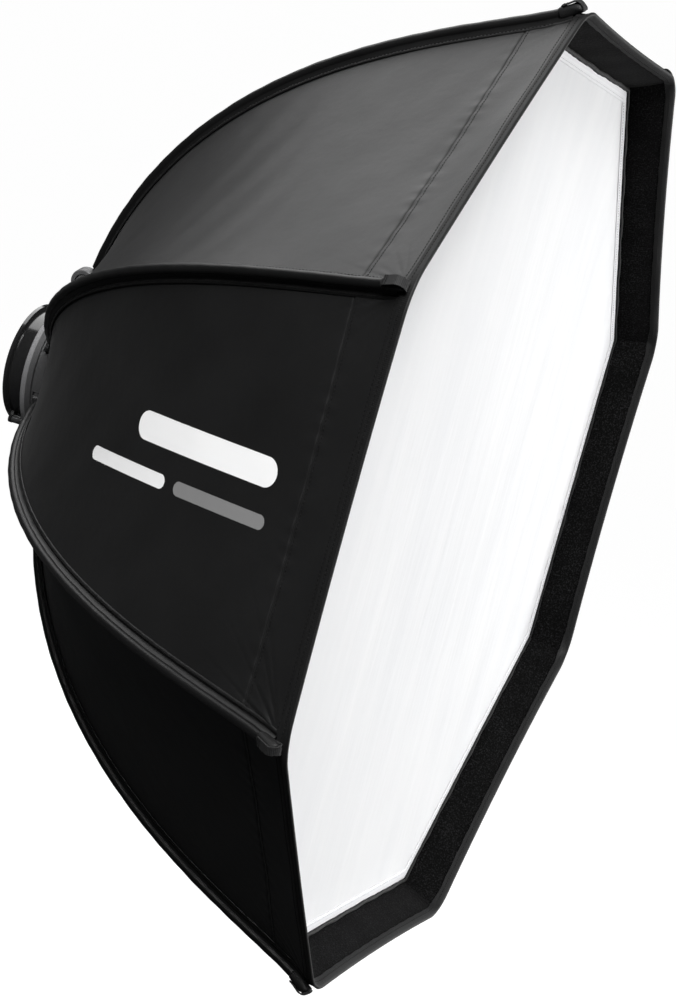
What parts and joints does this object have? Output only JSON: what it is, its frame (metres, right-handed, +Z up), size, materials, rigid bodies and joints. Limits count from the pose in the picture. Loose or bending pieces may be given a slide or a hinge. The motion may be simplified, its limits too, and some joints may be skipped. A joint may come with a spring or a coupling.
{
  "type": "octagonal softbox",
  "caption": "Folding octagonal softbox: black fabric shell on spring rods in a turning speed ring, recessed white front diffuser and a clamp collar for a lamp head.",
  "frame": {"origin": "centre of the rear collar's bore, at the plane of its rear rim", "axes": "+Y along the light's axis, out of the collar's back, so that the white front faces -Y; +Z up; +X to the right seen from the front"},
  "size_m": [0.9036, 0.523, 0.9036],
  "materials": {
    "shell_fabric": "matt woven nylon",
    "diffuser_fabric": "matt translucent white",
    "holder_metal": "satin powder coat",
    "rod_fibreglass": "smooth pultruded rod",
    "collar_gloss": "gloss black",
    "liner_rubber": "matt",
    "steel": "bare",
    "steel_black": "black oxide",
    "lever_metal": "satin powder coat",
    "plate_satin": "satin powder coat"
  },
  "bodies": {
    "collar": {"mount_collar": "collar_gloss", "clamp_liner": "liner_rubber", "retaining_ring": "steel", "lever_pin": "steel"},
    "lever": {"clamp_lever": "lever_metal"},
    "speedring": {"speedring_rear_plate": "plate_satin", "speedring_front_plate": "plate_satin", "speedring_screws": "steel_black", "holder_pins": "steel"},
    "rib_1": {"rod_holder_1": "holder_metal", "rod_1": "rod_fibreglass"},
    "shell_flap_1a": {"shell_half_1a": "shell_fabric"},
    "front_flap_1a": {"diffuser_wedge_1a": "diffuser_fabric"},
    "shell_flap_1b": {"shell_half_1b": "shell_fabric"},
    "front_flap_1b": {"diffuser_wedge_1b": "diffuser_fabric"},
    "rib_2": {"rod_holder_2": "holder_metal", "rod_2": "rod_fibreglass"},
    "shell_flap_2a": {"shell_half_2a": "shell_fabric"},
    "front_flap_2a": {"diffuser_wedge_2a": "diffuser_fabric"},
    "shell_flap_2b": {"shell_half_2b": "shell_fabric"},
    "front_flap_2b": {"diffuser_wedge_2b": "diffuser_fabric"},
    "rib_3": {"rod_holder_3": "holder_metal", "rod_3": "rod_fibreglass", "rod_guard": "holder_metal"},
    "shell_flap_3a": {"shell_half_3a": "shell_fabric"},
    "front_flap_3a": {"diffuser_wedge_3a": "diffuser_fabric"},
    "shell_flap_3b": {"shell_half_3b": "shell_fabric"},
    "front_flap_3b": {"diffuser_wedge_3b": "diffuser_fabric"},
    "rib_4": {"rod_holder_4": "holder_metal", "rod_4": "rod_fibreglass"},
    "shell_flap_4a": {"shell_half_4a": "shell_fabric"},
    "front_flap_4a": {"diffuser_wedge_4a": "diffuser_fabric"},
    "shell_flap_4b": {"shell_half_4b": "shell_fabric"},
    "front_flap_4b": {"diffuser_wedge_4b": "diffuser_fabric"},
    "rib_5": {"rod_holder_5": "holder_metal", "rod_5": "rod_fibreglass"},
    "shell_flap_5a": {"shell_half_5a": "shell_fabric"},
    "front_flap_5a": {"diffuser_wedge_5a": "diffuser_fabric"},
    "shell_flap_5b": {"shell_half_5b": "shell_fabric"},
    "front_flap_5b": {"diffuser_wedge_5b": "diffuser_fabric"},
    "rib_6": {"rod_holder_6": "holder_metal", "rod_6": "rod_fibreglass"},
    "shell_flap_6a": {"shell_half_6a": "shell_fabric"},
    "front_flap_6a": {"diffuser_wedge_6a": "diffuser_fabric"},
    "shell_flap_6b": {"shell_half_6b": "shell_fabric"},
    "front_flap_6b": {"diffuser_wedge_6b": "diffuser_fabric"},
    "rib_7": {"rod_holder_7": "holder_metal", "rod_7": "rod_fibreglass"},
    "shell_flap_7a": {"shell_half_7a": "shell_fabric"},
    "front_flap_7a": {"diffuser_wedge_7a": "diffuser_fabric"},
    "shell_flap_7b": {"shell_half_7b": "shell_fabric"},
    "front_flap_7b": {"diffuser_wedge_7b": "diffuser_fabric"},
    "rib_8": {"rod_holder_8": "holder_metal", "rod_8": "rod_fibreglass"},
    "shell_flap_8a": {"shell_half_8a": "shell_fabric"},
    "front_flap_8a": {"diffuser_wedge_8a": "diffuser_fabric"},
    "shell_flap_8b": {"shell_half_8b": "shell_fabric"},
    "front_flap_8b": {"diffuser_wedge_8b": "diffuser_fabric"}
  },
  "joints": [
    {"name": "speedring_turn", "type": "hinge", "parent": "collar", "child": "speedring", "pos_m": [0, -0.032, 0], "axis": [0, 1, 0], "continuous": true},
    {"name": "clamp_lever_open", "type": "hinge", "parent": "collar", "child": "lever", "pos_m": [-0.03325, -0.014, -0.05759], "axis": [0, 1, 0], "range_deg": [0, 100]},
    {"name": "fold_1", "type": "hinge", "parent": "speedring", "child": "rib_1", "pos_m": [0.05589, -0.0469, 0.02315], "axis": [0.3827, 0, -0.9239], "range_deg": [0, 43.4], "deforming": ["shell_half_1a", "diffuser_wedge_1a", "shell_half_1b", "diffuser_wedge_1b", "shell_half_2a", "diffuser_wedge_2a", "shell_half_2b", "diffuser_wedge_2b", "shell_half_3a", "diffuser_wedge_3a", "shell_half_3b", "diffuser_wedge_3b", "shell_half_4a", "diffuser_wedge_4a", "shell_half_4b", "diffuser_wedge_4b", "shell_half_5a", "diffuser_wedge_5a", "shell_half_5b", "diffuser_wedge_5b", "shell_half_6a", "diffuser_wedge_6a", "shell_half_6b", "diffuser_wedge_6b", "shell_half_7a", "diffuser_wedge_7a", "shell_half_7b", "diffuser_wedge_7b", "shell_half_8a", "diffuser_wedge_8a", "shell_half_8b", "diffuser_wedge_8b"]},
    {"name": "shell_hinge_1a", "type": "hinge", "parent": "rib_1", "child": "shell_flap_1a", "pos_m": [-0.04869, -0.0469, 0.27565], "axis": [0.0736, 0.1765, 0.9815], "range_deg": [0, 21.27]},
    {"name": "front_hinge_1a", "type": "hinge", "parent": "rib_1", "child": "front_flap_1a", "pos_m": [0.42498, -0.479, 0.17603], "axis": [-0.5627, 0.2957, -0.7719], "range_deg": [0, 72.15]},
    {"name": "shell_hinge_1b", "type": "hinge", "parent": "rib_1", "child": "shell_flap_1b", "pos_m": [0.16048, -0.0469, -0.22935], "axis": [-0.7461, -0.1765, 0.642], "range_deg": [0, 21.27]},
    {"name": "front_hinge_1b", "type": "hinge", "parent": "rib_1", "child": "front_flap_1b", "pos_m": [0.42498, -0.479, 0.17603], "axis": [0.9437, -0.2957, -0.148], "range_deg": [0, 72.15]},
    {"name": "fold_2", "type": "hinge", "parent": "speedring", "child": "rib_2", "pos_m": [0.02315, -0.0469, 0.05589], "axis": [0.9239, 0, -0.3827], "range_deg": [0, 43.4]},
    {"name": "shell_hinge_2a", "type": "hinge", "parent": "rib_2", "child": "shell_flap_2a", "pos_m": [-0.22935, -0.0469, 0.16048], "axis": [-0.642, 0.1765, 0.7461], "range_deg": [0, 21.27]},
    {"name": "front_hinge_2a", "type": "hinge", "parent": "rib_2", "child": "front_flap_2a", "pos_m": [0.17603, -0.479, 0.42498], "axis": [0.148, 0.2957, -0.9437], "range_deg": [0, 72.15]},
    {"name": "shell_hinge_2b", "type": "hinge", "parent": "rib_2", "child": "shell_flap_2b", "pos_m": [0.27565, -0.0469, -0.04869], "axis": [-0.9815, -0.1765, -0.0736], "range_deg": [0, 21.27]},
    {"name": "front_hinge_2b", "type": "hinge", "parent": "rib_2", "child": "front_flap_2b", "pos_m": [0.17603, -0.479, 0.42498], "axis": [0.7719, -0.2957, 0.5627], "range_deg": [0, 72.15]},
    {"name": "fold_3", "type": "hinge", "parent": "speedring", "child": "rib_3", "pos_m": [-0.02315, -0.0469, 0.05589], "axis": [0.9239, 0, 0.3827], "range_deg": [0, 43.4]},
    {"name": "shell_hinge_3a", "type": "hinge", "parent": "rib_3", "child": "shell_flap_3a", "pos_m": [-0.27565, -0.0469, -0.04869], "axis": [-0.9815, 0.1765, 0.0736], "range_deg": [0, 21.27]},
    {"name": "front_hinge_3a", "type": "hinge", "parent": "rib_3", "child": "front_flap_3a", "pos_m": [-0.17603, -0.479, 0.42498], "axis": [0.7719, 0.2957, -0.5627], "range_deg": [0, 72.15]},
    {"name": "shell_hinge_3b", "type": "hinge", "parent": "rib_3", "child": "shell_flap_3b", "pos_m": [0.22935, -0.0469, 0.16048], "axis": [-0.642, -0.1765, -0.7461], "range_deg": [0, 21.27]},
    {"name": "front_hinge_3b", "type": "hinge", "parent": "rib_3", "child": "front_flap_3b", "pos_m": [-0.17603, -0.479, 0.42498], "axis": [0.148, -0.2957, 0.9437], "range_deg": [0, 72.15]},
    {"name": "fold_4", "type": "hinge", "parent": "speedring", "child": "rib_4", "pos_m": [-0.05589, -0.0469, 0.02315], "axis": [0.3827, 0, 0.9239], "range_deg": [0, 43.4]},
    {"name": "shell_hinge_4a", "type": "hinge", "parent": "rib_4", "child": "shell_flap_4a", "pos_m": [-0.16048, -0.0469, -0.22935], "axis": [-0.7461, 0.1765, -0.642], "range_deg": [0, 21.27]},
    {"name": "front_hinge_4a", "type": "hinge", "parent": "rib_4", "child": "front_flap_4a", "pos_m": [-0.42498, -0.479, 0.17603], "axis": [0.9437, 0.2957, 0.148], "range_deg": [0, 72.15]},
    {"name": "shell_hinge_4b", "type": "hinge", "parent": "rib_4", "child": "shell_flap_4b", "pos_m": [0.04869, -0.0469, 0.27565], "axis": [0.0736, -0.1765, -0.9815], "range_deg": [0, 21.27]},
    {"name": "front_hinge_4b", "type": "hinge", "parent": "rib_4", "child": "front_flap_4b", "pos_m": [-0.42498, -0.479, 0.17603], "axis": [-0.5627, -0.2957, 0.7719], "range_deg": [0, 72.15]},
    {"name": "fold_5", "type": "hinge", "parent": "speedring", "child": "rib_5", "pos_m": [-0.05589, -0.0469, -0.02315], "axis": [-0.3827, 0, 0.9239], "range_deg": [0, 43.4]},
    {"name": "shell_hinge_5a", "type": "hinge", "parent": "rib_5", "child": "shell_flap_5a", "pos_m": [0.04869, -0.0469, -0.27565], "axis": [-0.0736, 0.1765, -0.9815], "range_deg": [0, 21.27]},
    {"name": "front_hinge_5a", "type": "hinge", "parent": "rib_5", "child": "front_flap_5a", "pos_m": [-0.42498, -0.479, -0.17603], "axis": [0.5627, 0.2957, 0.7719], "range_deg": [0, 72.15]},
    {"name": "shell_hinge_5b", "type": "hinge", "parent": "rib_5", "child": "shell_flap_5b", "pos_m": [-0.16048, -0.0469, 0.22935], "axis": [0.7461, -0.1765, -0.642], "range_deg": [0, 21.27]},
    {"name": "front_hinge_5b", "type": "hinge", "parent": "rib_5", "child": "front_flap_5b", "pos_m": [-0.42498, -0.479, -0.17603], "axis": [-0.9437, -0.2957, 0.148], "range_deg": [0, 72.15]},
    {"name": "fold_6", "type": "hinge", "parent": "speedring", "child": "rib_6", "pos_m": [-0.02315, -0.0469, -0.05589], "axis": [-0.9239, 0, 0.3827], "range_deg": [0, 43.4]},
    {"name": "shell_hinge_6a", "type": "hinge", "parent": "rib_6", "child": "shell_flap_6a", "pos_m": [0.22935, -0.0469, -0.16048], "axis": [0.642, 0.1765, -0.7461], "range_deg": [0, 21.27]},
    {"name": "front_hinge_6a", "type": "hinge", "parent": "rib_6", "child": "front_flap_6a", "pos_m": [-0.17603, -0.479, -0.42498], "axis": [-0.148, 0.2957, 0.9437], "range_deg": [0, 72.15]},
    {"name": "shell_hinge_6b", "type": "hinge", "parent": "rib_6", "child": "shell_flap_6b", "pos_m": [-0.27565, -0.0469, 0.04869], "axis": [0.9815, -0.1765, 0.0736], "range_deg": [0, 21.27]},
    {"name": "front_hinge_6b", "type": "hinge", "parent": "rib_6", "child": "front_flap_6b", "pos_m": [-0.17603, -0.479, -0.42498], "axis": [-0.7719, -0.2957, -0.5627], "range_deg": [0, 72.15]},
    {"name": "fold_7", "type": "hinge", "parent": "speedring", "child": "rib_7", "pos_m": [0.02315, -0.0469, -0.05589], "axis": [-0.9239, 0, -0.3827], "range_deg": [0, 43.4]},
    {"name": "shell_hinge_7a", "type": "hinge", "parent": "rib_7", "child": "shell_flap_7a", "pos_m": [0.27565, -0.0469, 0.04869], "axis": [0.9815, 0.1765, -0.0736], "range_deg": [0, 21.27]},
    {"name": "front_hinge_7a", "type": "hinge", "parent": "rib_7", "child": "front_flap_7a", "pos_m": [0.17603, -0.479, -0.42498], "axis": [-0.7719, 0.2957, 0.5627], "range_deg": [0, 72.15]},
    {"name": "shell_hinge_7b", "type": "hinge", "parent": "rib_7", "child": "shell_flap_7b", "pos_m": [-0.22935, -0.0469, -0.16048], "axis": [0.642, -0.1765, 0.7461], "range_deg": [0, 21.27]},
    {"name": "front_hinge_7b", "type": "hinge", "parent": "rib_7", "child": "front_flap_7b", "pos_m": [0.17603, -0.479, -0.42498], "axis": [-0.148, -0.2957, -0.9437], "range_deg": [0, 72.15]},
    {"name": "fold_8", "type": "hinge", "parent": "speedring", "child": "rib_8", "pos_m": [0.05589, -0.0469, -0.02315], "axis": [-0.3827, 0, -0.9239], "range_deg": [0, 43.4]},
    {"name": "shell_hinge_8a", "type": "hinge", "parent": "rib_8", "child": "shell_flap_8a", "pos_m": [0.16048, -0.0469, 0.22935], "axis": [0.7461, 0.1765, 0.642], "range_deg": [0, 21.27]},
    {"name": "front_hinge_8a", "type": "hinge", "parent": "rib_8", "child": "front_flap_8a", "pos_m": [0.42498, -0.479, -0.17603], "axis": [-0.9437, 0.2957, -0.148], "range_deg": [0, 72.15]},
    {"name": "shell_hinge_8b", "type": "hinge", "parent": "rib_8", "child": "shell_flap_8b", "pos_m": [-0.04869, -0.0469, -0.27565], "axis": [-0.0736, -0.1765, 0.9815], "range_deg": [0, 21.27]},
    {"name": "front_hinge_8b", "type": "hinge", "parent": "rib_8", "child": "front_flap_8b", "pos_m": [0.42498, -0.479, -0.17603], "axis": [0.5627, -0.2957, -0.7719], "range_deg": [0, 72.15]}
  ],
  "couplings": [
    {"joint": "shell_hinge_1a", "follows": "fold_1", "ratio": 0.49009},
    {"joint": "front_hinge_1a", "follows": "fold_1", "ratio": 1.6625},
    {"joint": "shell_hinge_1b", "follows": "fold_1", "ratio": 0.49009},
    {"joint": "front_hinge_1b", "follows": "fold_1", "ratio": 1.6625},
    {"joint": "fold_2", "follows": "fold_1", "ratio": 1},
    {"joint": "shell_hinge_2a", "follows": "fold_1", "ratio": 0.49009},
    {"joint": "front_hinge_2a", "follows": "fold_1", "ratio": 1.6625},
    {"joint": "shell_hinge_2b", "follows": "fold_1", "ratio": 0.49009},
    {"joint": "front_hinge_2b", "follows": "fold_1", "ratio": 1.6625},
    {"joint": "fold_3", "follows": "fold_1", "ratio": 1},
    {"joint": "shell_hinge_3a", "follows": "fold_1", "ratio": 0.49009},
    {"joint": "front_hinge_3a", "follows": "fold_1", "ratio": 1.6625},
    {"joint": "shell_hinge_3b", "follows": "fold_1", "ratio": 0.49009},
    {"joint": "front_hinge_3b", "follows": "fold_1", "ratio": 1.6625},
    {"joint": "fold_4", "follows": "fold_1", "ratio": 1},
    {"joint": "shell_hinge_4a", "follows": "fold_1", "ratio": 0.49009},
    {"joint": "front_hinge_4a", "follows": "fold_1", "ratio": 1.6625},
    {"joint": "shell_hinge_4b", "follows": "fold_1", "ratio": 0.49009},
    {"joint": "front_hinge_4b", "follows": "fold_1", "ratio": 1.6625},
    {"joint": "fold_5", "follows": "fold_1", "ratio": 1},
    {"joint": "shell_hinge_5a", "follows": "fold_1", "ratio": 0.49009},
    {"joint": "front_hinge_5a", "follows": "fold_1", "ratio": 1.6625},
    {"joint": "shell_hinge_5b", "follows": "fold_1", "ratio": 0.49009},
    {"joint": "front_hinge_5b", "follows": "fold_1", "ratio": 1.6625},
    {"joint": "fold_6", "follows": "fold_1", "ratio": 1},
    {"joint": "shell_hinge_6a", "follows": "fold_1", "ratio": 0.49009},
    {"joint": "front_hinge_6a", "follows": "fold_1", "ratio": 1.6625},
    {"joint": "shell_hinge_6b", "follows": "fold_1", "ratio": 0.49009},
    {"joint": "front_hinge_6b", "follows": "fold_1", "ratio": 1.6625},
    {"joint": "fold_7", "follows": "fold_1", "ratio": 1},
    {"joint": "shell_hinge_7a", "follows": "fold_1", "ratio": 0.49009},
    {"joint": "front_hinge_7a", "follows": "fold_1", "ratio": 1.6625},
    {"joint": "shell_hinge_7b", "follows": "fold_1", "ratio": 0.49009},
    {"joint": "front_hinge_7b", "follows": "fold_1", "ratio": 1.6625},
    {"joint": "fold_8", "follows": "fold_1", "ratio": 1},
    {"joint": "shell_hinge_8a", "follows": "fold_1", "ratio": 0.49009},
    {"joint": "front_hinge_8a", "follows": "fold_1", "ratio": 1.6625},
    {"joint": "shell_hinge_8b", "follows": "fold_1", "ratio": 0.49009},
    {"joint": "front_hinge_8b", "follows": "fold_1", "ratio": 1.6625}
  ]
}
